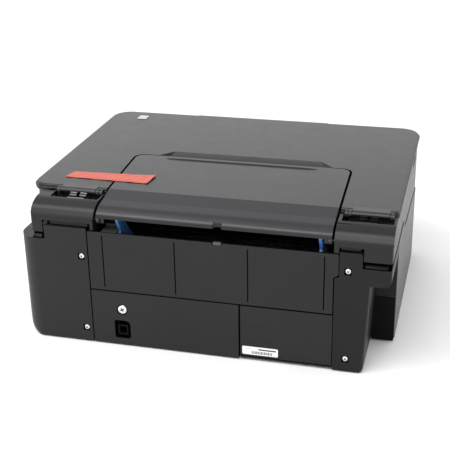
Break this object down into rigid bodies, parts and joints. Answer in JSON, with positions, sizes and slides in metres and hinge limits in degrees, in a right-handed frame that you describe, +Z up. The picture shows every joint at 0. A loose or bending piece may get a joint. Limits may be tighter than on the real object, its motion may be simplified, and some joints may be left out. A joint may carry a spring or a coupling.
{
  "type": "all-in-one inkjet printer",
  "caption": "Dark grey flatbed all-in-one inkjet printer with a folding rear paper support, hinged scanner lid and a strip of packing tape.",
  "frame": {"origin": "middle of the footprint, on the surface the feet stand on", "axes": "+X to the right as seen from the front, +Y from the front to the rear panel, +Z up"},
  "size_m": [0.43, 0.35, 0.1768],
  "materials": {
    "case_plastic": "fine grain",
    "lid_plastic": "fine grain",
    "inner_plastic": "smooth",
    "guide_plastic": "smooth",
    "steel": "bright plated",
    "dark_steel": "blackened",
    "rubber": "matte",
    "glass": "polished",
    "white_sheet": "matte",
    "circuit_board": "solder mask",
    "tape": "film",
    "badge": "metallised"
  },
  "bodies": {
    "chassis": {"base_tray": "case_plastic", "right_cover": "case_plastic", "left_rear_cover": "case_plastic", "left_side_cover": "case_plastic", "rear_panel_upper": "case_plastic", "rear_panel_lower": "case_plastic", "rear_label_panel": "case_plastic", "serial_label": "white_sheet", "front_bezel": "case_plastic", "foot_front_left": "rubber", "foot_front_right": "rubber", "foot_rear_left": "rubber", "foot_rear_right": "rubber", "cover_screw_1": "steel", "cover_screw_2": "steel", "cover_screw_3": "steel", "cover_screw_4": "steel", "panel_screw_large": "steel", "logic_board": "circuit_board", "usb_port": "steel", "power_inlet": "inner_plastic", "paper_ramp": "inner_plastic", "platen": "inner_plastic", "carriage_rail": "steel", "carriage_motor": "steel", "carriage_belt": "rubber", "service_station": "inner_plastic", "feed_motor": "steel"},
    "scanner_unit": {"scanner_frame": "case_plastic", "scanner_glass": "glass", "scanner_floor": "inner_plastic", "scan_rail": "steel", "right_shoulder": "case_plastic", "left_shoulder": "case_plastic", "lid_hinge_right": "inner_plastic", "lid_hinge_left": "inner_plastic", "control_panel": "lid_plastic", "display_window": "inner_plastic"},
    "lid": {"scanner_lid": "lid_plastic", "lid_pad": "white_sheet", "lid_badge": "badge"},
    "support_carrier": {"support_pin_right": "dark_steel", "support_pin_left": "dark_steel"},
    "support": {"paper_support": "lid_plastic", "packing_tape": "tape"},
    "tray": {"output_tray": "case_plastic"},
    "guide_right": {"edge_guide_right": "guide_plastic"},
    "guide_left": {"edge_guide_left": "guide_plastic"},
    "carriage_body": {"carriage": "inner_plastic", "colour_cartridge": "case_plastic", "black_cartridge": "inner_plastic"},
    "pulley": {"motor_pulley": "inner_plastic"},
    "drive": {"drive_roller": "steel"},
    "exit": {"exit_roller": "rubber"},
    "feed": {"feed_roller": "rubber"},
    "power_key": {"power_button": "case_plastic"},
    "cancel_key": {"cancel_button": "case_plastic"},
    "scan_key": {"scan_button": "case_plastic"},
    "copy_key": {"copy_button": "case_plastic"},
    "scan_head": {"scan_bar": "inner_plastic"}
  },
  "joints": [
    {"name": "scanner_lift", "type": "hinge", "parent": "chassis", "child": "scanner_unit", "pos_m": [0, 0.173, 0.138], "axis": [-1, 0, 0], "range_deg": [0, 30]},
    {"name": "lid_open", "type": "hinge", "parent": "scanner_unit", "child": "lid", "pos_m": [0, 0.129, 0.1715], "axis": [-1, 0, 0], "range_deg": [0, 60]},
    {"name": "support_follow", "type": "hinge", "parent": "scanner_unit", "child": "support_carrier", "pos_m": [0, 0.166, 0.155], "axis": [-1, 0, 0], "range_deg": [0, 50]},
    {"name": "support_open", "type": "hinge", "parent": "support_carrier", "child": "support", "pos_m": [0, 0.166, 0.155], "axis": [1, 0, 0], "range_deg": [-110, 0]},
    {"name": "tray_open", "type": "hinge", "parent": "chassis", "child": "tray", "pos_m": [0, -0.165, 0.024], "axis": [1, 0, 0], "range_deg": [0, 90]},
    {"name": "guide_right_slide", "type": "slide", "parent": "chassis", "child": "guide_right", "axis": [-1, 0, 0], "range_m": [0, 0.06]},
    {"name": "guide_left_slide", "type": "slide", "parent": "chassis", "child": "guide_left", "axis": [1, 0, 0], "range_m": [0, 0.06]},
    {"name": "carriage_slide", "type": "slide", "parent": "chassis", "child": "carriage_body", "axis": [-1, 0, 0], "range_m": [0, 0.33]},
    {"name": "pulley_spin", "type": "hinge", "parent": "chassis", "child": "pulley", "pos_m": [-0.165, 0.0705, 0.084], "axis": [0, 1, 0], "range_deg": [0, 3600]},
    {"name": "drive_spin", "type": "hinge", "parent": "chassis", "child": "drive", "pos_m": [-0.005, 0.063, 0.048], "axis": [1, 0, 0], "continuous": true},
    {"name": "exit_spin", "type": "hinge", "parent": "chassis", "child": "exit", "pos_m": [-0.005, 0.007, 0.044], "axis": [1, 0, 0], "continuous": true},
    {"name": "feed_spin", "type": "hinge", "parent": "chassis", "child": "feed", "pos_m": [-0.018, 0.113, 0.062], "axis": [1, 0, 0], "continuous": true},
    {"name": "scan_bar_slide", "type": "slide", "parent": "scanner_unit", "child": "scan_head", "axis": [-1, 0, 0], "range_m": [0, 0.27]},
    {"name": "power_press", "type": "slide", "parent": "scanner_unit", "child": "power_key", "axis": [0, 1, 0], "range_m": [0, 0.0012], "stiffness_N_per_m": 300},
    {"name": "cancel_press", "type": "slide", "parent": "scanner_unit", "child": "cancel_key", "axis": [0, 1, 0], "range_m": [0, 0.0012], "stiffness_N_per_m": 300},
    {"name": "scan_press", "type": "slide", "parent": "scanner_unit", "child": "scan_key", "axis": [0, 1, 0], "range_m": [0, 0.0012], "stiffness_N_per_m": 300},
    {"name": "copy_press", "type": "slide", "parent": "scanner_unit", "child": "copy_key", "axis": [0, 1, 0], "range_m": [0, 0.0012], "stiffness_N_per_m": 300}
  ],
  "couplings": [
    {"joint": "support_follow", "follows": "lid_open", "ratio": 0.82},
    {"joint": "guide_left_slide", "follows": "guide_right_slide", "ratio": 1},
    {"joint": "pulley_spin", "follows": "carriage_slide", "rad_per_m": 188.68},
    {"joint": "exit_spin", "follows": "drive_spin", "ratio": 0.9333}
  ]
}
